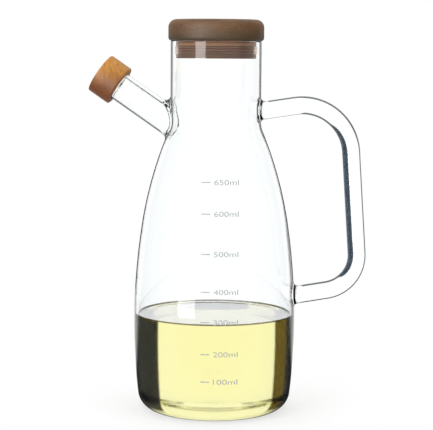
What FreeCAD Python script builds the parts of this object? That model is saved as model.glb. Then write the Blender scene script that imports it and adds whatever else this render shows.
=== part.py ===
"""Glass oil pourer: a blown bottle with a rod handle and a slanted spout, part filled with oil.

The bottle, its spout and its handle are one piece of glass.  A turned wooden lid with a
silicone seal closes the neck, and a wooden knob on a ribbed silicone plug shuts the spout.
Millimetres.  +Z is up, the origin is on the bottle's axis at the level of its foot, the
handle points along +X and the spout along -X.
"""
import FreeCAD, Part
import math
import os
import Sketcher

V = FreeCAD.Vector

# Driving sizes: alias, value, what it measures.
SIZES = [
    ("body_radius", 45.0, "widest outside radius of the body"),
    ("body_widest_height", 50.0, "height of the widest place"),
    ("body_curve", 360.0, "radius of the long curve up the side"),
    ("shoulder_height", 105.0, "height where the side turns in more quickly"),
    ("shoulder_curve", 220.0, "radius of the shoulder's curve"),
    ("heel_curve", 11.0, "radius between the foot and the side"),
    ("neck_radius", 25.1, "outside radius of the neck"),
    ("neck_blend", 14.0, "radius of the hollow between shoulder and neck"),
    ("rim_height", 206.4, "height of the rim above the table"),
    ("rim_rounding", 0.7, "rounding of the rim's two edges"),
    ("wall", 2.0, "thickness of the wall"),
    ("floor_thickness", 3.6, "thickness of the bottom at its ring"),
    ("punt_radius", 18.3, "radius of the hollow under the bottom"),
    ("punt_depth", 1.6, "depth of the hollow under the bottom"),
    ("oil_level", 54.0, "height of the oil's surface"),
    ("spout_rise", 34.2, "angle of the spout above level"),
    ("spout_drop", 62.3, "from the rim down to where the spout's axis meets the bottle's"),
    ("spout_length", 35.05, "from the neck's face to the mouth, along the spout's axis"),
    ("spout_radius", 8.05, "outside radius of the spout"),
    ("spout_wall", 1.7, "thickness of the spout's wall"),
    ("spout_rounding", 0.4, "rounding of the mouth's edges"),
    ("spout_root_flare", 3.0, "radius of the melted glass round the spout's root"),
    ("rod_radius", 4.95, "radius of the handle's rod"),
    ("handle_reach", 34.3, "from the body's side to the lower end of the grip's axis"),
    ("grip_lean", 4.0, "lean of the grip away from upright"),
    ("upper_root_drop", 38.3, "from the rim down to the upper arm's axis at the neck's face"),
    ("upper_arm_rise", 9.0, "angle of the upper arm above level"),
    ("upper_bend", 27.0, "radius of the upper bend"),
    ("lower_root_height", 65.6, "height of the lower arm's axis at the body's widest radius"),
    ("lower_arm_rise", 10.4, "angle of the lower arm above level"),
    ("lower_bend", 20.0, "radius of the lower bend"),
    ("root_flare", 2.4, "radius of the melted glass round each end of the rod"),
    ("lid_overhang", 1.4, "how far the lid's disc stands out past the neck"),
    ("lid_thickness", 11.8, "thickness of the lid's disc"),
    ("lid_upper_rounding", 4.4, "rounding of the disc's upper edge"),
    ("lid_lower_rounding", 1.8, "rounding of the disc's lower edge"),
    ("lid_plug_clearance", 0.9, "gap between the lid's plug and the neck"),
    ("lid_plug_depth", 9.6, "depth of the plug below the disc"),
    ("lid_plug_rounding", 0.5, "rounding of the plug's lower edge"),
    ("seal_drop", 2.9, "from the disc down to the seal"),
    ("seal_height", 4.3, "height of the seal"),
    ("seal_bed", 1.1, "depth of the groove that holds the seal"),
    ("seal_band", 0.25, "how far the seal's band stands out of its groove"),
    ("seal_clearance", 0.05, "gap between the seal's lips and the neck"),
    ("knob_overhang", 3.55, "how far the knob stands out past the spout"),
    ("knob_thickness", 13.4, "thickness of the spout's knob"),
    ("knob_rounding", 0.8, "rounding of the knob's edges"),
    ("spout_plug_length", 12.0, "length of the silicone plug in the spout"),
    ("spout_plug_rib", 0.9, "how far the silicone plug's ribs stand out"),
    ("spout_plug_clearance", 0.05, "gap between the ribs and the spout's bore"),
]
SEAL_LIPS = 3
SPOUT_PLUG_RIBS = 3
# Where a rib leaves its band, starts and ends its flat tip, and meets the band again.
RIB_SHARES = (0.12, 0.34, 0.56, 0.88)
STEP_FOLDER = "parts"
# Places nearer than this count as one.
TOUCH = 1e-3

# Sketcher's numbers for a curve's own points and for the sketch's axes.
START, END, CENTRE = 1, 2, 3
LEVEL_AXIS, UPRIGHT_AXIS = -1, -2

doc = FreeCAD.newDocument("oil_pourer")


def make_sheet():
    """Write the driving sizes into a spreadsheet, one row each, with aliases."""
    table = doc.addObject("Spreadsheet::Sheet", "Sizes")
    for row, (alias, value, meaning) in enumerate(SIZES, start=1):
        table.set("A%d" % row, alias)
        table.set("B%d" % row, str(value))
        table.set("C%d" % row, meaning)
        table.setAlias("B%d" % row, alias)
    doc.recompute()
    return table


sheet = make_sheet()


class Amount:
    """A size worked out from the sheet: its value now and the expression that keeps it so."""

    def __init__(self, value, text):
        self.value = value
        self.text = text

    def joined(self, other, sign, value):
        return Amount(value, "(%s %s %s)" % (self.text, sign, other.text))

    def __add__(self, other):
        other = amount(other)
        return self.joined(other, "+", self.value + other.value)

    def __sub__(self, other):
        other = amount(other)
        return self.joined(other, "-", self.value - other.value)

    def __mul__(self, other):
        other = amount(other)
        return self.joined(other, "*", self.value * other.value)

    def __truediv__(self, other):
        other = amount(other)
        return self.joined(other, "/", self.value / other.value)


def amount(number):
    """A plain number as an Amount; an Amount stays as it is."""
    if isinstance(number, Amount):
        return number
    return Amount(float(number), str(float(number)))


def size(alias):
    """A driving size as an Amount."""
    return Amount(float(sheet.get(alias)), "Sizes." + alias)


def sine(angle):
    return Amount(math.sin(math.radians(angle.value)), "sin(%s)" % angle.text)


def cosine(angle):
    return Amount(math.cos(math.radians(angle.value)), "cos(%s)" % angle.text)


class Outline:
    """A sketch on one of a body's own planes, its constraints tied to the sheet."""

    def __init__(self, body, name, plane="XZ_Plane"):
        self.sketch = body.newObject("Sketcher::SketchObject", name)
        own_planes = [f for f in body.Origin.OriginFeatures if f.Role == plane]
        self.sketch.AttachmentSupport = [(own_planes[0], "")]
        self.sketch.MapMode = "FlatFace"

    def shift(self, right, up, turn):
        """Move the sketch in its plane, and turn it counter-clockwise by an angle."""
        self.sketch.AttachmentOffset = FreeCAD.Placement(
            V(right.value, up.value, 0), FreeCAD.Rotation(V(0, 0, 1), turn.value))
        self.sketch.setExpression("AttachmentOffset.Base.x", right.text)
        self.sketch.setExpression("AttachmentOffset.Base.y", up.text)
        self.sketch.setExpression("AttachmentOffset.Rotation.Angle", turn.text)

    def line(self, start, end):
        return self.sketch.addGeometry(Part.LineSegment(V(*start, 0), V(*end, 0)), False)

    def arc(self, centre, radius, first, last):
        """A counter-clockwise arc between two angles in radians."""
        circle = Part.Circle(V(*centre, 0), V(0, 0, 1), radius)
        return self.sketch.addGeometry(Part.ArcOfCircle(circle, first, last), False)

    def hold(self, kind, *where):
        """A constraint without a size, such as Coincident or Tangent."""
        self.sketch.addConstraint(Sketcher.Constraint(kind, *where))

    def measure(self, kind, quantity, *where):
        """A constraint whose size is an Amount."""
        index = self.sketch.addConstraint(Sketcher.Constraint(kind, *where, quantity.value))
        name = "%s_%d" % (kind.lower(), index)
        self.sketch.renameConstraint(index, name)
        self.sketch.setExpression("Constraints." + name, quantity.text)

    def pin(self, curve, point, right, up):
        """Fix a point of a curve at a place in the sketch."""
        self.measure("DistanceX", right, curve, point)
        self.measure("DistanceY", up, curve, point)

    def disc(self, radius):
        """A circle round the sketch's own origin."""
        circle = self.sketch.addGeometry(
            Part.Circle(V(0, 0, 0), V(0, 0, 1), radius.value), False)
        self.hold("Coincident", circle, CENTRE, LEVEL_AXIS, START)
        self.measure("Radius", radius, circle)

    def polygon(self, corners):
        """A closed loop of straight edges through corners given as pairs of Amounts."""
        places = [(right.value, up.value) for right, up in corners]
        edges = []
        for place, following in zip(places, places[1:] + places[:1]):
            edges.append(self.line(place, following))
        for edge, following in zip(edges, edges[1:] + edges[:1]):
            self.hold("Coincident", edge, END, following, START)
        for edge, (right, up) in zip(edges, corners):
            self.pin(edge, START, right, up)


def new_body(name):
    body = doc.addObject("PartDesign::Body", name)
    body.Label = name
    return body


def feature(body, kind, name, outline, **settings):
    """Add a feature made from an outline, recompute it, and return it."""
    made = body.newObject("PartDesign::" + kind, name)
    made.Profile = outline.sketch
    for setting, value in settings.items():
        setattr(made, setting, value)
    outline.sketch.Visibility = False
    doc.recompute()
    return made


def turn_up(body, name, outline, cut=False, axis="V_Axis"):
    """Turn an outline once round the sketch's upright axis, or another of its axes."""
    before = body.Shape.Volume if body.Tip else 0.0
    kind = "Groove" if cut else "Revolution"
    made = feature(body, kind, name, outline, ReferenceAxis=(outline.sketch, [axis]), Angle=360.0)
    if made.Shape.isNull():
        raise RuntimeError("%s has no shape" % name)
    change = made.Shape.Volume - before
    if (change >= 0.0) == cut:
        raise RuntimeError("%s changed the volume by %.1f" % (name, change))
    return made


def round_edges(body, name, base, wanted, radius):
    """Fillet those edges of a feature that a test picks out."""
    picked = ["Edge%d" % i for i, edge in enumerate(base.Shape.Edges, start=1) if wanted(edge)]
    if not picked:
        raise RuntimeError("%s finds no edge" % name)
    made = body.newObject("PartDesign::Fillet", name)
    made.Base = (base, picked)
    made.Radius = radius.value
    made.setExpression("Radius", radius.text)
    doc.recompute()
    if made.Shape.isNull():
        raise RuntimeError("%s can't be rounded" % name)
    return made


def is_ring(edge, radius, height):
    """True for a level circle of this radius at this height."""
    if edge.Degenerated or not isinstance(edge.Curve, Part.Circle):
        return False
    near_radius = abs(edge.Curve.Radius - radius.value) < TOUCH
    near_height = abs(edge.Curve.Center.z - height.value) < TOUCH
    return near_radius and near_height


def draw_side(outline, inset, floor_level, top):
    """Draw the bottle's side from its heel up the neck, set in by part of the wall.

    Returns the heel arc, whose start lies on the floor, and the neck's line, whose end is
    at the top.  Every arc meets the next one smoothly.
    """
    belly_x = size("body_radius") - size("body_curve")
    belly_y = size("body_widest_height")
    belly_r = size("body_curve") - inset
    heel_r = size("heel_curve") - inset
    shoulder_r = size("shoulder_curve") - inset
    blend_r = size("neck_blend") + inset
    neck_r = size("neck_radius") - inset
    turn_in = (size("shoulder_height") - belly_y) / size("body_curve")
    shoulder_y = belly_y + turn_in * belly_r

    heel_rise = floor_level.value + heel_r.value - belly_y.value
    heel_run = math.sqrt((belly_r.value - heel_r.value) ** 2 - heel_rise ** 2)
    heel_centre = (belly_x.value + heel_run, floor_level.value + heel_r.value)
    heel_angle = math.atan2(heel_rise, heel_run)
    turn_angle = math.asin(turn_in.value)
    gap = belly_r.value - shoulder_r.value
    shoulder_centre = (belly_x.value + gap * math.cos(turn_angle),
                       belly_y.value + gap * math.sin(turn_angle))
    blend_run = neck_r.value + blend_r.value - shoulder_centre[0]
    blend_rise = math.sqrt((shoulder_r.value + blend_r.value) ** 2 - blend_run ** 2)
    blend_centre = (neck_r.value + blend_r.value, shoulder_centre[1] + blend_rise)
    blend_angle = math.atan2(blend_rise, blend_run)

    heel = outline.arc(heel_centre, heel_r.value, -math.pi / 2, heel_angle)
    belly = outline.arc((belly_x.value, belly_y.value), belly_r.value, heel_angle, turn_angle)
    shoulder = outline.arc(shoulder_centre, shoulder_r.value, turn_angle, blend_angle)
    blend = outline.arc(blend_centre, blend_r.value, math.pi, math.pi + blend_angle)
    neck = outline.line((neck_r.value, blend_centre[1]), (neck_r.value, top.value))

    outline.hold("Tangent", heel, END, belly, START)
    outline.hold("Tangent", belly, END, shoulder, START)
    outline.hold("Tangent", shoulder, END, blend, END)
    outline.hold("Tangent", blend, START, neck, START)
    outline.hold("Vertical", neck)
    outline.measure("Radius", heel_r, heel)
    outline.measure("Radius", belly_r, belly)
    outline.measure("Radius", shoulder_r, shoulder)
    outline.measure("Radius", blend_r, blend)
    outline.pin(belly, CENTRE, belly_x, belly_y)
    outline.measure("DistanceY", shoulder_y, belly, END)
    outline.measure("DistanceX", neck_r, neck, START)
    outline.measure("DistanceY", top, neck, END)
    outline.measure("DistanceY", floor_level, heel, START)
    return heel, neck


def close_on_axis(outline, neck, floor_start, top, bottom):
    """Close an outline over its top and down the axis to the start of its floor."""
    lid = outline.line((size("neck_radius").value, top.value), (0, top.value))
    axis = outline.line((0, top.value), (0, bottom.value))
    outline.hold("Coincident", neck, END, lid, START)
    outline.hold("Coincident", lid, END, axis, START)
    outline.hold("Horizontal", lid)
    outline.hold("PointOnObject", lid, END, UPRIGHT_AXIS)
    outline.hold("Coincident", axis, END, *floor_start)


def draw_outside(outline):
    """The bottle's outside as one loop: punt, foot ring, heel, side, neck and rim."""
    top = size("rim_height")
    heel, neck = draw_side(outline, amount(0), amount(0), top)
    radius = size("punt_radius").value
    depth = size("punt_depth").value
    dome_r = (radius ** 2 + depth ** 2) / (2 * depth)
    dome_angle = math.atan2(dome_r - depth, radius)
    punt = outline.arc((0, depth - dome_r), dome_r, dome_angle, math.pi / 2)
    foot = outline.line((radius, 0), (size("body_radius").value - size("heel_curve").value, 0))
    outline.hold("PointOnObject", punt, CENTRE, UPRIGHT_AXIS)
    outline.hold("PointOnObject", punt, END, UPRIGHT_AXIS)
    outline.measure("DistanceY", size("punt_depth"), punt, END)
    outline.pin(punt, START, size("punt_radius"), amount(0))
    outline.hold("Coincident", punt, START, foot, START)
    outline.hold("Tangent", foot, END, heel, START)
    close_on_axis(outline, neck, (punt, END), top, size("punt_depth"))


def draw_cavity(outline, top):
    """The space inside the bottle as one loop: flat floor, heel, side and neck."""
    floor_level = size("floor_thickness")
    heel, neck = draw_side(outline, size("wall"), floor_level, top)
    heel_start = size("body_radius").value - size("heel_curve").value
    floor = outline.line((0, floor_level.value), (heel_start, floor_level.value))
    outline.hold("Tangent", floor, END, heel, START)
    outline.hold("Horizontal", floor)
    outline.hold("PointOnObject", floor, START, UPRIGHT_AXIS)
    close_on_axis(outline, neck, (floor, START), top, floor_level)


def neck_bore_radius():
    return size("neck_radius") - size("wall")


def lid_plug_radius():
    return neck_bore_radius() - size("lid_plug_clearance")


def spout_bore_radius():
    return size("spout_radius") - size("spout_wall")


def spout_axis_height():
    """The height where the spout's axis meets the bottle's."""
    return size("rim_height") - size("spout_drop")


def spout_mouth_place():
    """How far the spout's mouth is from the bottle's axis, along the spout's axis."""
    return size("neck_radius") / cosine(size("spout_rise")) + size("spout_length")


def spout_start():
    return V(0, 0, spout_axis_height().value)


def spout_direction():
    return V(-cosine(size("spout_rise")).value, 0, sine(size("spout_rise")).value)


def place_on_spout(outline):
    """Move an outline so that its level axis runs up the spout from the bottle's axis."""
    outline.shift(amount(0), spout_axis_height(), amount(180) - size("spout_rise"))


def lies_on_tube(edge, start, direction, radius, farthest, nearest=0.0):
    """True for an edge that stays on a round tube, between two places along its axis."""
    if edge.Degenerated:
        return False
    first, last = edge.ParameterRange
    for place in (first, (first + last) / 2, last):
        offset = edge.valueAt(place) - start
        along = offset.dot(direction)
        away = (offset - direction * along).Length
        if abs(away - radius.value) > TOUCH or not nearest < along < farthest:
            return False
    return True


def add_spout(body):
    """The spout's tube, still solid, with melted glass round its root."""
    tube = Outline(body, "spout_tube")
    place_on_spout(tube)
    start = size("spout_radius")
    mouth = spout_mouth_place()
    tube.polygon([(start, amount(0)), (mouth, amount(0)),
                  (mouth, size("spout_radius")), (start, size("spout_radius"))])
    joined = turn_up(body, "spout", tube, axis="H_Axis")
    below_mouth = mouth.value - size("spout_radius").value

    def at_root(edge):
        return lies_on_tube(edge, spout_start(), spout_direction(), size("spout_radius"),
                            below_mouth)

    round_edges(body, "spout_root", joined, at_root, size("spout_root_flare"))


def arm_start(root_x, root_height, rise):
    """A point on an arm's axis, far enough inside the glass to hide the rod's end."""
    inward = size("rod_radius")
    return root_x - inward, root_height - inward * sine(rise) / cosine(rise)


def bend_between(corner, first, second, radius):
    """The centre and the two ends of an arc that touches both rays leaving a corner."""
    half = (first - second) / 2
    middle = (first + second) / 2
    away = radius / abs(math.sin(half))
    reach = radius / abs(math.tan(half))
    centre = (corner[0] + away * math.cos(middle), corner[1] + away * math.sin(middle))
    ends = [(corner[0] + reach * math.cos(angle), corner[1] + reach * math.sin(angle))
            for angle in (first, second)]
    return centre, ends


def angle_at(centre, place):
    return math.atan2(place[1] - centre[1], place[0] - centre[0])


def crossing(place, angle, other_place, other_angle):
    """Where two lines in the sketch cross; the angles are in radians."""
    across = other_place[0] - place[0]
    up = other_place[1] - place[1]
    spread = math.sin(other_angle - angle)
    along = (across * math.sin(other_angle) - up * math.cos(other_angle)) / spread
    return place[0] + along * math.cos(angle), place[1] + along * math.sin(angle)


def draw_handle_path(outline):
    """The rod's axis: upper arm, bend, leaning grip, bend and lower arm, all smooth.

    Returns the two straight arms as (start, end) pairs, each starting inside the glass.
    """
    grip_x = size("body_radius") + size("handle_reach")
    upper_x, upper_y = arm_start(
        size("neck_radius"), size("rim_height") - size("upper_root_drop"), size("upper_arm_rise"))
    lower_x, lower_y = arm_start(
        size("body_radius"), size("lower_root_height"), size("lower_arm_rise"))
    upper_start = (upper_x.value, upper_y.value)
    lower_start = (lower_x.value, lower_y.value)
    upper_r = size("upper_bend").value
    lower_r = size("lower_bend").value
    upper_angle = math.radians(size("upper_arm_rise").value)
    lower_angle = math.radians(size("lower_arm_rise").value)
    grip_angle = math.radians(90 + size("grip_lean").value)

    # The lower corner lies past the grip's lower end, by as much as the bend takes off.
    taken_off = lower_r / math.tan((math.pi - grip_angle + lower_angle) / 2)
    corner_x = grip_x.value - taken_off * math.cos(grip_angle)
    corner_y = lower_start[1] + (corner_x - lower_start[0]) * math.tan(lower_angle)
    low_corner = (corner_x, corner_y)
    high_corner = crossing(upper_start, upper_angle, low_corner, grip_angle)
    low_centre, (grip_low, low_end) = bend_between(
        low_corner, grip_angle, lower_angle + math.pi, lower_r)
    high_centre, (grip_high, high_end) = bend_between(
        high_corner, grip_angle - math.pi, upper_angle - math.pi, upper_r)

    upper = outline.line(upper_start, high_end)
    high_bend = outline.arc(high_centre, upper_r,
                            angle_at(high_centre, grip_high), angle_at(high_centre, high_end))
    grip = outline.line(grip_high, grip_low)
    low_bend = outline.arc(low_centre, lower_r,
                           angle_at(low_centre, low_end), angle_at(low_centre, grip_low))
    lower = outline.line(low_end, lower_start)

    outline.hold("Tangent", upper, END, high_bend, END)
    outline.hold("Tangent", high_bend, START, grip, START)
    outline.hold("Tangent", grip, END, low_bend, END)
    outline.hold("Tangent", low_bend, START, lower, START)
    outline.pin(upper, START, upper_x, upper_y)
    outline.pin(lower, END, lower_x, lower_y)
    outline.measure("Radius", size("upper_bend"), high_bend)
    outline.measure("Radius", size("lower_bend"), low_bend)
    outline.measure("DistanceX", grip_x, grip, END)
    outline.measure("Angle", size("upper_arm_rise"), upper)
    outline.measure("Angle", size("grip_lean") - amount(90), grip)
    outline.measure("Angle", size("lower_arm_rise") - amount(180), lower)
    return (upper_start, high_end), (lower_start, low_end)


def add_handle(body):
    """The handle's rod along its path, with melted glass round both of its ends."""
    path = Outline(body, "handle_path")
    arms = draw_handle_path(path)
    doc.recompute()
    section = Outline(body, "rod_section")
    section.sketch.AttachmentSupport = [(path.sketch, "Edge1")]
    section.sketch.MapMode = "NormalToEdge"
    section.disc(size("rod_radius"))
    rod = feature(body, "AdditivePipe", "handle", section, Spine=(path.sketch, []))
    path.sketch.Visibility = False

    def at_root(edge):
        for start, end in arms:
            arm = V(end[0] - start[0], 0, end[1] - start[1])
            direction = V(arm).normalize()
            if lies_on_tube(edge, V(start[0], 0, start[1]), direction, size("rod_radius"),
                            arm.Length - TOUCH):
                return True
        return False

    round_edges(body, "handle_roots", rod, at_root, size("root_flare"))


def hollow_out(body):
    """Cut the space inside the bottle and the spout's bore, and melt the cut edges round."""
    above_rim = size("rim_height") + size("wall")
    inside = Outline(body, "inside")
    draw_cavity(inside, above_rim)
    turn_up(body, "hollow", inside, cut=True)

    bore = Outline(body, "spout_bore")
    place_on_spout(bore)
    start = size("spout_radius")
    past_mouth = spout_mouth_place() + size("spout_wall")
    bore.polygon([(start, amount(0)), (past_mouth, amount(0)),
                  (past_mouth, spout_bore_radius()), (start, spout_bore_radius())])
    open_spout = turn_up(body, "spout_hollow", bore, cut=True, axis="H_Axis")

    mouth = spout_mouth_place().value

    def at_mouth(edge):
        return any(lies_on_tube(edge, spout_start(), spout_direction(), radius,
                                mouth + TOUCH, nearest=mouth - TOUCH)
                   for radius in (size("spout_radius"), spout_bore_radius()))

    rounded = round_edges(body, "spout_mouth", open_spout, at_mouth, size("spout_rounding"))

    def at_rim(edge):
        return any(is_ring(edge, radius, size("rim_height"))
                   for radius in (size("neck_radius"), neck_bore_radius()))

    round_edges(body, "rim", rounded, at_rim, size("rim_rounding"))


def make_bottle():
    """Bottle, spout and handle: one piece of glass."""
    body = new_body("glass_bottle")
    outside = Outline(body, "outside")
    draw_outside(outside)
    turn_up(body, "blown_body", outside)
    add_spout(body)
    add_handle(body)
    hollow_out(body)
    return body


def make_oil():
    """The oil fills the bottle from its floor up to a level surface."""
    body = new_body("oil")
    inside = Outline(body, "inside")
    draw_cavity(inside, size("rim_height"))
    full = turn_up(body, "full_bottle", inside)
    surface = Outline(body, "surface", "XY_Plane")
    surface.sketch.AttachmentOffset = FreeCAD.Placement(
        V(0, 0, size("oil_level").value), FreeCAD.Rotation())
    surface.sketch.setExpression("AttachmentOffset.Base.z", size("oil_level").text)
    surface.disc(size("body_radius"))
    level = feature(body, "Pocket", "air_above", surface, Type="ThroughAll", Reversed=True)
    if not 0.0 < level.Shape.Volume < full.Shape.Volume:
        raise RuntimeError("the oil is not cut at its surface")
    return body


def make_lid():
    """The wooden lid: a rounded disc with a plug that has a groove for the seal."""
    body = new_body("lid")
    seat = size("rim_height")
    top = seat + size("lid_thickness")
    bottom = seat - size("lid_plug_depth")
    groove_top = seat - size("seal_drop")
    groove_bottom = groove_top - size("seal_height")
    plug = lid_plug_radius()
    bed = plug - size("seal_bed")
    disc = size("neck_radius") + size("lid_overhang")
    outline = Outline(body, "turned_profile")
    outline.polygon([
        (amount(0), bottom), (plug, bottom), (plug, groove_bottom), (bed, groove_bottom),
        (bed, groove_top), (plug, groove_top), (plug, seat), (disc, seat), (disc, top),
        (amount(0), top)])
    turned = turn_up(body, "turned", outline)
    for name, radius, height, rounding in (
            ("upper_edge", disc, top, size("lid_upper_rounding")),
            ("lower_edge", disc, seat, size("lid_lower_rounding")),
            ("plug_edge", plug, bottom, size("lid_plug_rounding"))):

        def at_edge(edge):
            return is_ring(edge, radius, height)

        turned = round_edges(body, name, turned, at_edge, rounding)
    return body


def ribbed_profile(inner, band, tip, bottom, top, ribs):
    """Corners of a ring or plug whose equal ribs rise from a band to narrow tips."""
    pitch = (top - bottom) / amount(ribs)
    corners = [(inner, bottom), (band, bottom)]
    for rib in range(ribs):
        foot = bottom + pitch * amount(rib)
        for radius, share in zip((band, tip, tip, band), RIB_SHARES):
            corners.append((radius, foot + pitch * amount(share)))
    return corners + [(band, top), (inner, top)]


def make_lid_seal():
    """The silicone ring in the plug's groove; its lips reach the neck's wall."""
    body = new_body("lid_seal")
    top = size("rim_height") - size("seal_drop")
    bottom = top - size("seal_height")
    bed = lid_plug_radius() - size("seal_bed")
    band = lid_plug_radius() + size("seal_band")
    tip = neck_bore_radius() - size("seal_clearance")
    outline = Outline(body, "ring_profile")
    outline.polygon(ribbed_profile(bed, band, tip, bottom, top, SEAL_LIPS))
    turn_up(body, "ring", outline)
    return body


def lean_on_spout(body):
    """Place a body that was made upright so that its axis is the spout's axis."""
    tilt = size("spout_rise") - amount(90)
    body.Placement = FreeCAD.Placement(
        spout_start(), FreeCAD.Rotation(V(0, 1, 0), tilt.value))
    body.setExpression("Placement.Base.z", spout_axis_height().text)
    body.setExpression("Placement.Rotation.Angle", tilt.text)
    doc.recompute()


def make_knob():
    """The wooden knob that stands on the spout's mouth."""
    body = new_body("spout_knob")
    radius = size("spout_radius") + size("knob_overhang")
    mouth = spout_mouth_place()
    far = mouth + size("knob_thickness")
    outline = Outline(body, "turned_profile")
    outline.polygon([(amount(0), mouth), (radius, mouth), (radius, far), (amount(0), far)])
    turned = turn_up(body, "turned", outline)

    def at_end(edge):
        return any(is_ring(edge, radius, height) for height in (mouth, far))

    round_edges(body, "eased_edges", turned, at_end, size("knob_rounding"))
    lean_on_spout(body)
    return body


def make_spout_plug():
    """The ribbed silicone plug that fills the end of the spout's bore."""
    body = new_body("spout_plug")
    top = spout_mouth_place()
    bottom = top - size("spout_plug_length")
    tip = spout_bore_radius() - size("spout_plug_clearance")
    band = tip - size("spout_plug_rib")
    outline = Outline(body, "plug_profile")
    outline.polygon(ribbed_profile(amount(0), band, tip, bottom, top, SPOUT_PLUG_RIBS))
    turn_up(body, "plug", outline)
    lean_on_spout(body)
    return body


def check_model(bodies):
    """Stop if any object failed or any piece is not one sound solid."""
    for thing in doc.Objects:
        if "Invalid" in thing.State or "Error" in thing.State:
            raise RuntimeError("%s is %s" % (thing.Label, thing.State))
    for body in bodies:
        shape = body.Shape
        if shape.isNull() or not shape.isValid() or len(shape.Solids) != 1:
            raise RuntimeError("%s is not one sound solid" % body.Label)
        if shape.Volume <= 0.0:
            raise RuntimeError("%s has no volume" % body.Label)


def main():
    bodies = [make_bottle(), make_oil(), make_lid(), make_lid_seal(), make_knob(),
              make_spout_plug()]
    doc.recompute()
    check_model(bodies)
    os.makedirs(STEP_FOLDER, exist_ok=True)
    for body in bodies:
        body.Shape.exportStep(os.path.join(STEP_FOLDER, body.Label + ".step"))
        print("%-14s %10.1f mm3" % (body.Label, body.Shape.Volume))


main()
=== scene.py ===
"""Glass oil pourer with a wooden lid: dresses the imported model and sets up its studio."""

import math

import bpy
from bpy.props import FloatProperty, FloatVectorProperty, PointerProperty
from mathutils import Matrix, Vector


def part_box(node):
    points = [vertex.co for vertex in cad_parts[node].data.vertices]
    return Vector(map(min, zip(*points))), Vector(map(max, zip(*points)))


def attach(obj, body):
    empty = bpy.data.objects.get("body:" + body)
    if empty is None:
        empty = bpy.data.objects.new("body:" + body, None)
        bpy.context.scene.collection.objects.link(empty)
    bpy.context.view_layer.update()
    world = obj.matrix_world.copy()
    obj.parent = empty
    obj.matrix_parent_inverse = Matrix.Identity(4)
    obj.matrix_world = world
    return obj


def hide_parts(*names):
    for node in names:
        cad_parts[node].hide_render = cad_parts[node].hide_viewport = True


bl_info = {
    "name": "Glass Oil Pourer",
    "version": (1, 0, 0),
    "blender": (4, 2, 0),
    "location": "View3D > Sidebar > Oil Pourer",
    "description": "Builds a glass oil pourer with a wooden lid and stopper",
    "category": "Object",
}

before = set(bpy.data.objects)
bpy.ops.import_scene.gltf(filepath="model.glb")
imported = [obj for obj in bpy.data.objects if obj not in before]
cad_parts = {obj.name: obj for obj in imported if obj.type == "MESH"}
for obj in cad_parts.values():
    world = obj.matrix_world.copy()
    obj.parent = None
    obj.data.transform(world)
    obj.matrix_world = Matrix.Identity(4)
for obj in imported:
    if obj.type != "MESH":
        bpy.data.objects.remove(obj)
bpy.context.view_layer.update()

MM = 0.001
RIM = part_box("glass_bottle")[1].z
OIL_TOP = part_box("oil")[1].z
OIL_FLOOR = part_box("oil")[0].z
SEAL_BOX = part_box("lid_seal")
SEAL_LIPS = 3
KNOB_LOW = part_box("spout_knob")[0].z

# How far round from the front the camera, the studio and the printed scale are turned.
VIEW_TURN = math.radians(7.0)

# Each line of the printed scale: its figure, and its height in metres.
SCALE_MARKS = (("100", 0.0238), ("200", 0.0389), ("300", 0.0563), ("400", 0.0726),
               ("500", 0.0928), ("600", 0.1141), ("650", 0.1308))

# How far in from the wall the oil's climb reaches, and the number of its steps.
MENISCUS_RUN = 3.5 * MM
MENISCUS_STEPS = 8

# Where each line of the scale starts and ends, and where its figure starts, across the front.
DASH_LEFT, DASH_RIGHT, FIGURE_LEFT = -0.0074, -0.0025, -0.0005

# Where the finish of the glass changes, in metres. Each pair is a change's start and its end.
HANDLE_START = (0.046, 0.050)    # out from the axis, where the handle leaves the body
ARM_START = (0.0275, 0.030)      # out from the axis, where the handle leaves the neck
SPOUT_START = (0.0285, 0.031)    # out from the axis, where the spout leaves the neck
SPOUT_FOOT = (0.147, 0.151)      # height of the spout's lower end
NECK_FOOT = (0.145, 0.160)       # height at which the neck begins
RIGHT_WALL_FADE = (0.090, 0.130)  # height, where the right-hand wall's wide edge ends
HOLLOW_RING = (0.0001, 0.0003)   # height, just above the ring that the bottle stands on
HOLLOW_ROOF = (0.0016, 0.0020)   # height of the roof of the hollow under the base
HOLLOW_EDGE = (0.0180, 0.0185)   # radius of that hollow


# ---------------------------------------------------------------- sizes and colours

def length(name, description, value):
    return FloatProperty(name=name, description=description, default=value, min=0.0,
                         unit="LENGTH", subtype="DISTANCE", precision=5)


def colour(name, description, value):
    return FloatVectorProperty(name=name, description=description, default=value, size=3,
                               min=0.0, max=1.0, subtype="COLOR")


class PourerSizes(bpy.types.PropertyGroup):
    """Sizes of the pourer's pieces."""
    body_radius: length("Body radius", "Widest outside radius of the body", 0.045)
    widest_height: length("Widest height", "Height of the widest place", 0.050)
    body_curve: length("Side curve", "Radius of the long curve up the side", 0.360)
    shoulder_height: length("Shoulder height", "Where the side turns in more quickly", 0.105)
    shoulder_curve: length("Shoulder curve", "Radius of the shoulder's curve", 0.220)
    heel_curve: length("Heel curve", "Radius between the foot and the side", 0.011)
    neck_radius: length("Neck radius", "Outside radius of the neck", 0.0251)
    neck_blend: length("Neck blend", "Radius of the hollow below the neck", 0.014)
    wall: length("Wall", "Thickness of the glass wall", 0.002)
    print_line: length("Print line", "Thickness of the scale's lines", 0.00055)
    print_height: length("Print height", "Height of the scale's figures", 0.0029)
    print_width: length("Print width", "Length of a figure with its unit", 0.0132)
    print_depth: length("Print depth", "Thickness of the printed ink", 0.00004)
    meniscus: length("Meniscus", "How far the oil climbs the wall", 0.0011)
    overlap: length("Oil overlap", "How far the oil reaches into the wall", 0.00025)


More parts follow.
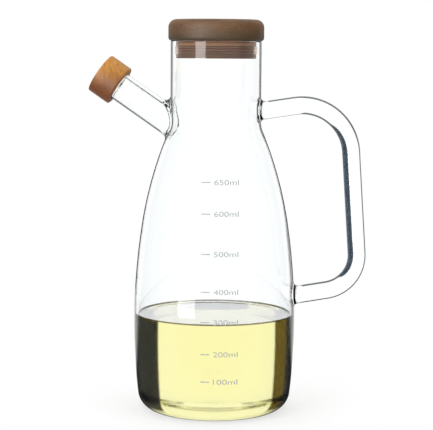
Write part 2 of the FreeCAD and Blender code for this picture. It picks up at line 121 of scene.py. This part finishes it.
class PourerColours(bpy.types.PropertyGroup):
    """Colours of the pourer's finishes."""
    glass: colour("Glass", "Tint of the glass", (0.985, 0.997, 1.0))
    # Painted shade where the glass is seen edge on.
    painted_edge_shade: colour("Glass edge", "Glass seen edge on", (0.006, 0.009, 0.012))
    rod_shade: colour("Handle shade", "Inner side of the glass rod", (0.0010, 0.0028, 0.0058))
    # Painted shade in the hollow under the base.
    painted_base_shade: colour("Base", "What the hollow of the base lets through", (0.12, 0.13, 0.01))
    oil: colour("Oil", "What the oil lets through", (0.965, 0.90, 0.065))
    # Painted shade in the oil near its edge, and where it is seen edge on.
    oil_brown_shade: colour("Oil brown", "Oil near its edge", (0.020, 0.010, 0.0003))
    oil_dark_shade: colour("Oil edge", "Oil seen edge on", (0.0012, 0.0013, 0.0016))
    dark_wood: colour("Dark wood", "Main colour of the lid's wood", (0.118, 0.061, 0.026))
    red_wood: colour("Red wood", "Streaks in the lid's wood", (0.170, 0.072, 0.024))
    # Painted shade on the lower part of the lid.
    lid_low_shade: colour("Olive wood", "Lower part of the lid", (0.050, 0.034, 0.015))
    golden_wood: colour("Golden wood", "Main colour of the stopper's wood", (0.43, 0.185, 0.030))
    # Painted shade on the lower part of the stopper's knob.
    knob_low_shade: colour("Brown wood", "Lower part of the stopper", (0.15, 0.040, 0.009))
    stopper_silicone: colour("Stopper silicone", "Colour of the ribbed plug", (1.0, 0.985, 0.955))
    silicone: colour("Silicone", "Colour of the lid's seal", (0.96, 0.74, 0.58))
    print_ink: colour("Print", "Colour of the printed scale", (0.36, 0.37, 0.38))


# ---------------------------------------------------------------- modelling helpers

def deselect():
    """Leave edit mode, with nothing selected."""
    if bpy.context.object and bpy.context.object.mode != "OBJECT":
        bpy.ops.object.mode_set(mode="OBJECT")
    bpy.ops.object.select_all(action="DESELECT")


def finish_piece(piece, name, material, node):
    """Name a piece, give it its material, and hang it on the model."""
    piece.name = name
    piece.data.name = name
    piece.data.materials.clear()
    piece.data.materials.append(material)
    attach(piece, "root")
    if node:
        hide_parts(node)


def dress(node, material):
    """Give one of the frame's own pieces its finish."""
    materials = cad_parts[node].data.materials
    materials.clear()
    materials.append(material)


def arc_points(centre, radius, first, last, steps):
    """Points along an arc from one angle to another, in degrees."""
    points = []
    for step in range(steps + 1):
        angle = math.radians(first + (last - first) * step / steps)
        points.append((centre[0] + radius * math.cos(angle),
                       centre[1] + radius * math.sin(angle)))
    return points


def lathe(profile, steps=128):
    """Turn a profile of (radius, height) points once round the upright axis."""
    deselect()
    bpy.ops.mesh.primitive_plane_add(size=MM, location=(0, 0, 0))
    piece = bpy.context.object
    bpy.ops.object.mode_set(mode="EDIT")
    bpy.ops.mesh.merge(type="CENTER")
    bpy.ops.transform.translate(value=(profile[0][0], 0, profile[0][1]))
    for (radius, height), (last_radius, last_height) in zip(profile[1:], profile[:-1]):
        bpy.ops.mesh.extrude_region_move(TRANSFORM_OT_translate={
            "value": (radius - last_radius, 0, height - last_height)})
    bpy.ops.mesh.select_all(action="SELECT")
    bpy.ops.mesh.spin(steps=steps, angle=math.tau, center=(0, 0, 0), axis=(0, 0, 1))
    bpy.ops.mesh.select_all(action="SELECT")
    bpy.ops.mesh.remove_doubles(threshold=1e-6)
    bpy.ops.mesh.normals_make_consistent(inside=False)
    bpy.ops.object.mode_set(mode="OBJECT")
    bpy.ops.object.shade_smooth_by_angle(angle=math.radians(40))
    return piece


def side_profile(sizes, inset, floor_height, top):
    """Points of the bottle's side from its floor to its top, set in by part of the wall."""
    belly = (sizes.body_radius - sizes.body_curve, sizes.widest_height)
    belly_r = sizes.body_curve - inset
    heel_r = sizes.heel_curve - inset
    shoulder_r = sizes.shoulder_curve - inset
    blend_r = sizes.neck_blend + inset
    neck_r = sizes.neck_radius - inset
    heel_rise = floor_height + heel_r - belly[1]
    heel_run = math.sqrt((belly_r - heel_r) ** 2 - heel_rise ** 2)
    heel = (belly[0] + heel_run, floor_height + heel_r)
    heel_angle = math.degrees(math.atan2(heel_rise, heel_run))
    turn = math.asin((sizes.shoulder_height - belly[1]) / sizes.body_curve)
    gap = belly_r - shoulder_r
    shoulder = (belly[0] + gap * math.cos(turn), belly[1] + gap * math.sin(turn))
    turn_angle = math.degrees(turn)
    blend_run = neck_r + blend_r - shoulder[0]
    blend_rise = math.sqrt((shoulder_r + blend_r) ** 2 - blend_run ** 2)
    blend = (neck_r + blend_r, shoulder[1] + blend_rise)
    blend_angle = math.degrees(math.atan2(blend_rise, blend_run))
    points = arc_points(heel, heel_r, -90, heel_angle, 12)
    points += arc_points(belly, belly_r, heel_angle, turn_angle, 24)[1:]
    points += arc_points(shoulder, shoulder_r, turn_angle, blend_angle, 16)[1:]
    points += arc_points(blend, blend_r, 180 + blend_angle, 180, 8)[1:]
    points.append((neck_r, top))
    return points


# ---------------------------------------------------------------- shader helpers

class Channel:
    """A socket's value that can be used in sums; each sum adds its Math node."""

    def __init__(self, shader, socket):
        self.shader = shader
        self.socket = socket

    def math(self, operation, *values):
        return self.shader.make("ShaderNodeMath", {"operation": operation},
                                dict(enumerate(values)))

    def __add__(self, other):
        return self.math("ADD", self, other)

    def __sub__(self, other):
        return self.math("SUBTRACT", self, other)

    def __rsub__(self, other):
        return self.math("SUBTRACT", other, self)

    def __mul__(self, other):
        return self.math("MULTIPLY", self, other)

    def __truediv__(self, other):
        return self.math("DIVIDE", self, other)

    def __pow__(self, other):
        return self.math("POWER", self, other)

    def absolute(self):
        return self.math("ABSOLUTE", self)

    def clamp(self):
        return self.shader.make("ShaderNodeClamp", {}, {0: self})


WHITE = (1.0, 1.0, 1.0, 1.0)
BLACK = (0.0, 0.0, 0.0, 1.0)


class Shader:
    """A material, or the world, whose nodes are made one call each."""

    def __init__(self, name, owner=None):
        self.owner = owner or bpy.data.materials.new(name)
        self.owner.use_nodes = True
        self.tree = self.owner.node_tree
        self.tree.nodes.clear()

    def node(self, kind, settings, inputs):
        """Add a node. Each input is a value, or a channel to join to it."""
        made = self.tree.nodes.new(kind)
        for setting, value in settings.items():
            if setting == "stops":
                self.set_stops(made.color_ramp, value)
            else:
                setattr(made, setting, value)
        for key, value in inputs.items():
            if isinstance(value, Channel):
                self.tree.links.new(value.socket, made.inputs[key])
            else:
                made.inputs[key].default_value = value
        return made

    def make(self, kind, settings, inputs, output=0):
        """Add a node, and give one of its outputs as a channel."""
        return Channel(self, self.node(kind, settings, inputs).outputs[output])

    def set_stops(self, ramp, stops):
        while len(ramp.elements) > 1:
            ramp.elements.remove(ramp.elements[-1])
        ramp.elements[0].position = stops[0][0]
        ramp.elements[0].color = (*stops[0][1], 1.0)
        for place, tone in stops[1:]:
            ramp.elements.new(place).color = (*tone, 1.0)

    def place(self, scale=(1.0, 1.0, 1.0), shift=(0.0, 0.0, 0.0)):
        """Object coordinates, scaled and shifted."""
        where = self.make("ShaderNodeTexCoord", {}, {}, output="Object")
        return self.make("ShaderNodeMapping", {}, {
            "Vector": where, "Scale": scale, "Location": shift})

    def split(self, vector):
        """A vector's three channels."""
        parts = self.node("ShaderNodeSeparateXYZ", {}, {0: vector})
        return [Channel(self, socket) for socket in parts.outputs]

    def noise(self, place, scale, detail=4.0, roughness=0.5, distortion=0.0):
        return self.make("ShaderNodeTexNoise", {}, {
            "Vector": place, "Scale": scale, "Detail": detail, "Roughness": roughness,
            "Distortion": distortion})

    def ramp(self, factor, stops):
        return self.make("ShaderNodeValToRGB", {"stops": stops}, {0: factor})

    def blend(self, factor, first, second):
        return self.make("ShaderNodeMix", {"data_type": "RGBA"}, {
            0: factor, 6: as_rgba(first), 7: as_rgba(second)}, output=2)

    def bump(self, height, strength, distance):
        return self.make("ShaderNodeBump", {}, {
            "Height": height, "Strength": strength, "Distance": distance})

    def surface(self, settings):
        """A Principled surface joined to the output."""
        shader = self.node("ShaderNodeBsdfPrincipled", {}, settings)
        output = self.tree.nodes.new("ShaderNodeOutputMaterial")
        self.tree.links.new(shader.outputs[0], output.inputs["Surface"])
        return shader, output


def as_rgba(value):
    """A colour with its fourth part. A channel stays as it is."""
    if isinstance(value, Channel) or len(value) == 4:
        return value
    return (*value, 1.0)


def times(colour_value, factor):
    """A colour made darker or lighter."""
    return tuple(part * factor for part in colour_value)


def step_up(value, first, last):
    """0 below first, 1 above last, and smooth between."""
    return value.shader.make("ShaderNodeMapRange", {"interpolation_type": "SMOOTHSTEP"}, {
        "Value": value, "From Min": first, "From Max": last})


def facing_of(shader, normal=None):
    """0 where the surface, or a direction, faces the eye, and 1 where it is edge on."""
    inputs = {"Blend": 0.5}
    if normal:
        inputs["Normal"] = normal
    return shader.make("ShaderNodeLayerWeight", {}, inputs, output="Facing")


def surface_facts(shader):
    """The surface's outward direction, and 1 where light goes in rather than out."""
    geometry = shader.node("ShaderNodeNewGeometry", {}, {})
    right, ahead, up = shader.split(Channel(shader, geometry.outputs["Normal"]))
    return right, ahead, up, 1 - Channel(shader, geometry.outputs["Backfacing"])


# ---------------------------------------------------------------- finishes

def glass_finish(colours):
    """Clear glass, with painted shade where the eye looks along the wall."""
    shader = Shader("clear_glass")
    x, y, z = shader.split(shader.place())
    right, ahead, up, going_in = surface_facts(shader)
    handle = step_up(x, *HANDLE_START)
    spout = step_up(0 - x, *SPOUT_START) * step_up(z, *SPOUT_FOOT)
    neck = step_up(z, *NECK_FOOT)
    arm = neck * step_up(x, *ARM_START) * (1 - handle)
    outer = (step_up(x * right + y * ahead, 0.0, 0.004) + handle + spout + arm).clamp()

    # The painted edge shade is wider on the handle, the neck and the right-hand wall. On the
    # spout it is wider on the lower side and narrower elsewhere.
    raised = step_up(up, 0.3, 0.7)
    lowered = step_up(0 - up, 0.2, 0.6)
    right_wall = (step_up(right, 0.8, 0.95) * (1 - step_up(z, *RIGHT_WALL_FADE))
                  * (1 - handle))
    wider = (handle * 0.28 + raised * (arm * 0.24 + handle * (1 - neck) * 0.12)
             + right_wall * 0.08 + neck * 0.11 + spout * (lowered * 0.36 - 0.20))
    facing = facing_of(shader)
    rim = step_up(facing + wider, 0.75, 0.84)
    tone = shader.blend(rim * outer * going_in, colours.glass, colours.painted_edge_shade)

    inward = 0 - right - up.absolute() * 0.35
    band = step_up(inward, 0.28, 0.36) * step_up(facing, 0.045, 0.075) * handle * going_in
    tone = shader.blend(band, tone, colours.rod_shade)

    # Painted shade in the hollow under the base, where the dark floor shows through.
    radius = (x * x + y * y) ** 0.5
    hollow = (step_up(z, *HOLLOW_RING) * (1 - step_up(z, *HOLLOW_ROOF))
              * (1 - step_up(radius, *HOLLOW_EDGE)))
    tone = shader.blend(hollow * 0.75, tone, colours.painted_base_shade)
    shader.surface({
        "Base Color": tone, "Roughness": 0.0, "IOR": 1.48, "Transmission Weight": 1.0,
        "Specular Tint": (0.6, 0.6, 0.6, 1.0)})
    return shader.owner


def oil_finish(colours):
    """Clear yellow oil, with painted shade, brown to near black, where the eye looks along its
    side.
    """
    shader = Shader("pale_oil")
    right, ahead, up, going_in = surface_facts(shader)

    # How far round its side the surface turns from the eye, whatever the eye's height.
    level = shader.make("ShaderNodeCombineXYZ", {}, {0: right, 1: ahead})
    level = shader.make("ShaderNodeVectorMath", {"operation": "NORMALIZE"}, {0: level})
    upright = shader.make("ShaderNodeCombineXYZ", {}, {2: 1.0})
    steep = 1 - facing_of(shader, upright)
    aside = 1 - (1 - facing_of(shader, level)) / (1 - steep * steep) ** 0.5
    side = (((0.95 - up.absolute()) * 5.0).clamp() * going_in
            * (1 - step_up(steep, 0.30, 0.50)))
    # Painted shade, brown and then near black, towards the oil's side.
    brown = step_up(aside - right * 0.017, 0.130, 0.144) * side
    dark = step_up(aside - right * 0.058, 0.154, 0.178) * side
    tone = shader.blend(brown, WHITE, colours.oil_brown_shade)
    tone = shader.blend(dark, tone, colours.oil_dark_shade)

    # Painted shade makes the thin climb at the wall brown, and the surface dark where it is seen
    # edge on.
    _, _, height = shader.split(shader.place())
    climb = step_up(height, OIL_TOP + 0.1 * MM, OIL_TOP + 0.4 * MM) * going_in
    tone = shader.blend(climb * 0.93, tone, colours.oil_brown_shade)
    surface = step_up(up, 0.90, 0.95) * going_in
    skimmed = surface * step_up(facing_of(shader), 0.78, 0.88)
    tone = shader.blend(skimmed, tone, BLACK)
    _, output = shader.surface({
        "Base Color": tone, "Roughness": 0.0, "IOR": 1.47, "Transmission Weight": 1.0,
        "Specular Tint": (0.1, 0.1, 0.1, 1.0),
        "Coat Weight": surface, "Coat IOR": 3.0, "Coat Roughness": 0.02})
    absorb = shader.node("ShaderNodeVolumeAbsorption", {}, {
        "Color": as_rgba(colours.oil), "Density": 11.0})
    shader.tree.links.new(absorb.outputs[0], output.inputs["Volume"])
    return shader.owner


def dark_wood_finish(colours):
    """Dark brown wood whose grain runs level across the disc."""
    shader = Shader("dark_lid_wood")
    base = colours.dark_wood
    grain = shader.noise(shader.place(scale=(6.0, 60.0, 90.0)), 10.0, detail=8.0,
                         roughness=0.65, distortion=0.4)
    tone = shader.ramp(grain, (
        (0.30, times(base, 0.62)), (0.48, times(base, 1.0)), (0.62, times(base, 1.22)),
        (0.75, times(base, 1.5))))
    streak = shader.noise(shader.place(scale=(1.5, 8.0, 28.0)), 10.0, detail=3.0)
    tone = shader.blend(step_up(streak, 0.45, 0.62) * 0.55, tone, colours.red_wood)

    # Painted shade makes the disc darker low down, the plug is redder, and a painted highlight
    # makes a pale band above its seal.
    _, _, height = shader.split(shader.place())
    low = 1 - step_up(height, RIM + 1.2 * MM, RIM + 7.5 * MM)
    plug = 1 - step_up(height, RIM - 0.4 * MM, RIM)
    painted_highlight = (step_up(height, RIM - 2.9 * MM, RIM - 2.5 * MM)
            * (1 - step_up(height, RIM - 1.6 * MM, RIM - 1.1 * MM)))
    tone = shader.blend(low * (1 - plug) * 0.8, tone, colours.lid_low_shade)
    tone = shader.blend(plug * 0.75, tone, times(colours.red_wood, 0.82))
    tone = shader.blend(painted_highlight * 0.75, tone, times(colours.red_wood, 2.6))

    pores = shader.noise(shader.place(scale=(30.0, 400.0, 500.0)), 8.0, detail=3.0)
    pore_mask = ((0.42 - pores) * 12.0).clamp()
    tone = shader.blend(pore_mask * 0.45, tone, times(base, 0.45))
    shader.surface({
        "Base Color": tone, "Roughness": grain * 0.15 + 0.48,
        "Normal": shader.bump(grain - pore_mask * 0.6, 0.35, 0.0004),
        "Specular IOR Level": 0.35})
    return shader.owner


def golden_wood_finish(colours):
    """Golden wood, with painted shade that makes it browner towards its lower side."""
    shader = Shader("golden_stopper_wood")
    base = colours.golden_wood
    grain = shader.noise(shader.place(scale=(60.0, 60.0, 8.0)), 10.0, detail=7.0,
                         roughness=0.6, distortion=0.5)
    tone = shader.ramp(grain, (
        (0.32, times(base, 0.7)), (0.5, times(base, 1.0)), (0.7, times(base, 1.35))))
    _, _, height = shader.split(shader.place())
    shade = 1 - step_up(height, KNOB_LOW + 8 * MM, KNOB_LOW + 21 * MM)
    tone = shader.blend(shade * 0.9, tone, colours.knob_low_shade)
    shader.surface({
        "Base Color": tone, "Roughness": grain * 0.15 + 0.42,
        "Normal": shader.bump(grain, 0.3, 0.0003), "Specular IOR Level": 0.35})
    return shader.owner


def silicone_finish(name, tint):
    """Clear silicone, a little milky along the lips of the lid's seal."""
    shader = Shader(name)
    speck = shader.noise(shader.place(), 900.0, detail=2.0)
    clear = shader.make("ShaderNodeBsdfPrincipled", {}, {
        "Base Color": as_rgba(tint), "Roughness": speck * 0.02,
        "IOR": 1.03, "Transmission Weight": 1.0, "Specular Tint": (0.5, 0.5, 0.5, 1.0)})
    milky = shader.make("ShaderNodeBsdfPrincipled", {}, {
        "Base Color": as_rgba(tint), "Roughness": 0.35})
    _, _, height = shader.split(shader.place())
    low, high = SEAL_BOX[0].z, SEAL_BOX[1].z
    lip = (height - low) * (SEAL_LIPS / (high - low))
    off_crest = (lip.math("FRACT", lip) - 0.5).absolute()
    crest = 1 - step_up(off_crest, 0.06, 0.22)
    mixed = shader.make("ShaderNodeMixShader", {}, {
        0: crest * step_up(height, low - MM, low) * 0.12 + 0.002, 1: clear, 2: milky})
    shader.node("ShaderNodeOutputMaterial", {}, {"Surface": mixed})
    return shader.owner


def print_finish(colours):
    """Grey ink, very slightly uneven."""
    shader = Shader("printed_ink")
    speck = shader.noise(shader.place(), 2500.0, detail=2.0)
    tone = shader.blend(speck, colours.print_ink, times(colours.print_ink, 0.9))
    shader.surface({"Base Color": tone, "Roughness": 0.6})
    return shader.owner


# ---------------------------------------------------------------- pieces

def settings(context):
    """The scene's sizes and colours."""
    return context.scene.pourer_sizes, context.scene.pourer_colours


class POURER_OT_glass(bpy.types.Operator):
    """Give the blown glass its clear finish"""
    bl_idname = "pourer.glass"
    bl_label = "Glass Bottle"

    def execute(self, context):
        _, colours = settings(context)
        dress("glass_bottle", glass_finish(colours))
        return {"FINISHED"}


class POURER_OT_oil(bpy.types.Operator):
    """Make the oil, with the small climb of its surface at the wall"""
    bl_idname = "pourer.oil"
    bl_label = "Oil"

    def execute(self, context):
        sizes, colours = settings(context)
        inset = sizes.wall - sizes.overlap
        floor = OIL_FLOOR - sizes.overlap
        side = side_profile(sizes, inset, floor, RIM)
        wet = [point for point in side if point[1] < OIL_TOP - MM]
        edge = max(radius for radius, _ in wet) - 0.03 * MM
        surface = [(edge, OIL_TOP), (edge, OIL_TOP + sizes.meniscus)]
        for step in range(1, MENISCUS_STEPS + 1):
            share = step / MENISCUS_STEPS
            surface.append((edge - sizes.overlap - MENISCUS_RUN * share ** 1.5,
                            OIL_TOP + sizes.meniscus * (1 - share) ** 2))
        profile = [(0.0, floor)] + wet + surface + [(0.0, OIL_TOP)]
        piece = lathe(profile)
        finish_piece(piece, "oil_fill", oil_finish(colours), "oil")
        return {"FINISHED"}


def radius_at(profile, height):
    """The profile's radius at a height."""
    for (first, low), (last, high) in zip(profile, profile[1:]):
        if low <= height <= high and high > low:
            return first + (last - first) * (height - low) / (high - low)
    raise ValueError("the profile has no point at height %.4f" % height)


def flat_dash(left, right, height, thickness):
    """A short level line of print, divided so that it can be bent."""
    bpy.ops.mesh.primitive_plane_add(size=1.0, location=((left + right) / 2, 0, height))
    dash = bpy.context.object
    bpy.ops.object.mode_set(mode="EDIT")
    bpy.ops.transform.resize(value=(right - left, thickness, 1.0))
    bpy.ops.transform.rotate(value=math.radians(-90), orient_axis="X",
                             center_override=(0, 0, height))
    bpy.ops.mesh.subdivide(number_cuts=5)
    bpy.ops.object.mode_set(mode="OBJECT")
    return dash


def flat_words(words, left, height, tall, wide):
    """A line of print that stands upright in the XZ plane, centred on a height."""
    bpy.ops.object.text_add(location=(0, 0, 0))
    text = bpy.context.object
    text.data.body = words
    text.data.align_x = "LEFT"
    text.data.align_y = "CENTER"
    text.data.size = tall * 1.4
    text.data.resolution_u = 4
    bpy.ops.object.convert(target="MESH")
    corners = [vertex.co for vertex in text.data.vertices]
    low = min(corner.x for corner in corners)
    high = max(corner.x for corner in corners)
    middle = (min(corner.y for corner in corners) + max(corner.y for corner in corners)) / 2
    for corner in corners:
        corner.x, corner.y, corner.z = (left + (corner.x - low) * wide / (high - low), 0.0,
                                        height + corner.y - middle)
    return text


def wrap_on_glass(piece, profile, turn, lift):
    """Press flat print on to the glass, round the upright axis by a turn."""
    for vertex in piece.data.vertices:
        radius = radius_at(profile, vertex.co.z) + lift
        angle = turn + math.asin(vertex.co.x / radius)
        vertex.co.x = radius * math.sin(angle)
        vertex.co.y = -radius * math.cos(angle)


class POURER_OT_scale(bpy.types.Operator):
    """Print the scale of volumes on the front of the glass"""
    bl_idname = "pourer.scale"
    bl_label = "Printed Scale"

    def execute(self, context):
        sizes, colours = settings(context)
        outside = side_profile(sizes, 0.0, 0.0, RIM)
        deselect()
        marks = []
        for words, height in SCALE_MARKS:
            marks.append(flat_dash(DASH_LEFT, DASH_RIGHT, height, sizes.print_line))
            marks.append(flat_words(words + "ml", FIGURE_LEFT, height,
                                    sizes.print_height, sizes.print_width))
        deselect()
        for mark in marks:
            mark.select_set(True)
        context.view_layer.objects.active = marks[0]
        bpy.ops.object.join()
        piece = context.object
        bpy.ops.object.transform_apply(location=True, rotation=True, scale=True)
        wrap_on_glass(piece, outside, VIEW_TURN, sizes.print_depth)
        body = piece.modifiers.new("ink", "SOLIDIFY")
        body.thickness = sizes.print_depth * 1.6
        body.offset = 0.0
        bpy.ops.object.modifier_apply(modifier="ink")
        finish_piece(piece, "scale_print", print_finish(colours), None)
        return {"FINISHED"}


class POURER_OT_wood(bpy.types.Operator):
    """Give the lid and the stopper's knob their wood"""
    bl_idname = "pourer.wood"
    bl_label = "Wooden Lid and Knob"

    def execute(self, context):
        _, colours = settings(context)
        dress("lid", dark_wood_finish(colours))
        dress("spout_knob", golden_wood_finish(colours))
        return {"FINISHED"}


class POURER_OT_silicone(bpy.types.Operator):
    """Give the lid's seal and the stopper's plug their silicone"""
    bl_idname = "pourer.silicone"
    bl_label = "Silicone Seal and Plug"

    def execute(self, context):
        _, colours = settings(context)
        dress("lid_seal", silicone_finish("seal_silicone", colours.silicone))
        dress("spout_plug", silicone_finish("plug_silicone", colours.stopper_silicone))
        return {"FINISHED"}


# ---------------------------------------------------------------- studio

def add_camera():
    """A long lens in front of the pourer, turned a little towards the handle's side."""
    away = 0.88
    height = 0.20135
    turn = VIEW_TURN
    pitch = math.radians(5.95)
    roll = math.radians(0.42)
    aside = math.radians(0.055)
    data = bpy.data.cameras.new("camera")
    data.sensor_width = 36.0
    data.lens = 131.5
    camera = bpy.data.objects.new("camera", data)
    bpy.context.scene.collection.objects.link(camera)
    spot = Vector((away * math.sin(turn), -away * math.cos(turn), height))
    camera.matrix_world = (
        Matrix.Translation(spot) @ Matrix.Rotation(turn - aside, 4, "Z")
        @ Matrix.Rotation(math.radians(90) - pitch, 4, "X") @ Matrix.Rotation(roll, 4, "Z"))
    bpy.context.scene.camera = camera


def add_area_light(name, spot, target, width, height, power):
    """A rectangular lamp at a spot, aimed at a target."""
    data = bpy.data.lights.new(name, "AREA")
    data.shape = "RECTANGLE"
    data.size = width
    data.size_y = height
    data.energy = power
    lamp = bpy.data.objects.new(name, data)
    bpy.context.scene.collection.objects.link(lamp)
    away = Vector(target) - Vector(spot)
    turned = away.to_track_quat("-Z", "Y").to_matrix().to_4x4()
    lamp.matrix_world = Matrix.Translation(spot) @ turned
    return lamp


def ray_kinds(shader):
    """Channels that are 1 for camera, mirrored and see-through rays."""
    path = shader.node("ShaderNodeLightPath", {}, {})
    camera, gloss, clear, depth = [Channel(shader, path.outputs[name]) for name in (
        "Is Camera Ray", "Is Glossy Ray", "Is Transmission Ray", "Transmission Depth")]
    inside = gloss * (1 - clear) * depth.math("MINIMUM", depth, 1.0)
    return camera, gloss * (1 - clear) - inside, clear + inside


def studio_walls(shader, heading, gloss, clear):
    """How bright the studio is towards a heading, for gloss and for clear glass.

    In gloss it is white behind, before and above the pourer, and dark at its sides and in a
    patch straight behind. Through clear glass it is white all round.
    """
    right, ahead, up = shader.split(heading)
    square = ahead * math.cos(VIEW_TURN) - right * math.sin(VIEW_TURN)
    behind = step_up(square, 0.55, 0.75) * (1 - step_up(square, 0.92, 0.95))
    before = step_up(0 - ahead, 0.15, 0.60)
    above = step_up(up, 0.35, 0.8)
    mirrored = (behind + before + above).clamp() * 0.95 + 0.05
    return clear * 1.05 + gloss * mirrored


def world_finish():
    """An even white backdrop; it lights the pieces less than it shows."""
    world = bpy.data.worlds.new("studio")
    bpy.context.scene.world = world
    shader = Shader("studio", world)
    camera, gloss, clear = ray_kinds(shader)
    heading = shader.make("ShaderNodeTexCoord", {}, {}, output="Generated")
    walls = studio_walls(shader, heading, gloss, clear)
    _, _, up = shader.split(heading)
    diffuse = (1 - (camera + clear + gloss).clamp()) * (step_up(up, -0.4, 0.8) * 0.45 + 0.28)
    light = shader.make("ShaderNodeBackground", {}, {
        "Color": WHITE, "Strength": camera + walls + diffuse})
    shader.node("ShaderNodeOutputWorld", {}, {"Surface": light})


def floor_finish():
    """A white floor that keeps the shadow near the foot and fades into the backdrop."""
    shader = Shader("pale_floor")
    camera, gloss, clear = ray_kinds(shader)
    place = shader.place()
    away = shader.make("ShaderNodeVectorMath", {"operation": "LENGTH"}, {0: place},
                       output="Value")
    heading = shader.make("ShaderNodeVectorMath", {"operation": "NORMALIZE"}, {
        0: shader.place(shift=(0.0, 0.0, -0.1))})
    open_floor = step_up(away, 0.04, 0.14)
    walls = studio_walls(shader, heading, gloss, clear)
    diffuse = shader.make("ShaderNodeBsdfDiffuse", {}, {"Color": (0.9, 0.9, 0.9, 1.0)})
    glow = shader.make("ShaderNodeEmission", {}, {"Color": WHITE, "Strength": camera + walls})
    mixed = shader.make("ShaderNodeMixShader", {}, {
        0: camera * (open_floor * 0.35 + 0.65) + clear + gloss, 1: diffuse, 2: glow})
    shader.node("ShaderNodeOutputMaterial", {}, {"Surface": mixed})
    return shader.owner


class POURER_OT_stage(bpy.types.Operator):
    """Set up the pale floor, the soft lights and the camera"""
    bl_idname = "pourer.stage"
    bl_label = "Studio"

    def execute(self, context):
        deselect()
        bpy.ops.mesh.primitive_circle_add(vertices=96, radius=0.5, fill_type="NGON")
        floor = bpy.context.object
        floor.name = "floor"
        floor.data.materials.append(floor_finish())
        context.scene.view_settings.view_transform = "Standard"
        world_finish()
        key = add_area_light("key", spot=(-0.54, -0.84, 0.50), target=(0, 0, 0.11),
                             width=0.55, height=0.6, power=5.5)
        fill = add_area_light("fill", spot=(0.7, -0.6, 0.5), target=(0, 0, 0.11),
                              width=0.5, height=0.5, power=2.0)
        top = add_area_light("top", spot=(0.0, 0.1, 1.0), target=(0, 0, 0.1),
                             width=0.8, height=0.8, power=4.0)
        window = add_area_light("window", spot=(-0.54, -0.84, 0.35), target=(0, 0, 0.17),
                                width=0.48, height=0.9, power=16.0)
        for lamp in (key, fill, top):
            lamp.visible_glossy = False
            lamp.visible_transmission = False
        window.visible_diffuse = False
        window.visible_transmission = False
        add_camera()
        return {"FINISHED"}


class POURER_PT_panel(bpy.types.Panel):
    """Builds the pourer piece by piece"""
    bl_idname = "POURER_PT_panel"
    bl_label = "Oil Pourer"
    bl_space_type = "VIEW_3D"
    bl_region_type = "UI"
    bl_category = "Oil Pourer"

    def draw(self, context):
        sizes, colours = settings(context)
        for operator in OPERATORS:
            self.layout.operator(operator.bl_idname)
        for group in (sizes, colours):
            for name in group.__annotations__:
                self.layout.prop(group, name)


OPERATORS = (POURER_OT_stage, POURER_OT_glass, POURER_OT_oil, POURER_OT_scale,
             POURER_OT_wood, POURER_OT_silicone)
CLASSES = (PourerSizes, PourerColours) + OPERATORS + (POURER_PT_panel,)


def register():
    for cls in CLASSES:
        bpy.utils.register_class(cls)
    bpy.types.Scene.pourer_sizes = PointerProperty(type=PourerSizes)
    bpy.types.Scene.pourer_colours = PointerProperty(type=PourerColours)


def unregister():
    del bpy.types.Scene.pourer_colours
    del bpy.types.Scene.pourer_sizes
    for cls in reversed(CLASSES):
        bpy.utils.unregister_class(cls)


def main():
    register()
    bpy.ops.pourer.stage()
    bpy.ops.pourer.glass()
    bpy.ops.pourer.oil()
    bpy.ops.pourer.scale()
    bpy.ops.pourer.wood()
    bpy.ops.pourer.silicone()


if __name__ == "__main__":
    main()
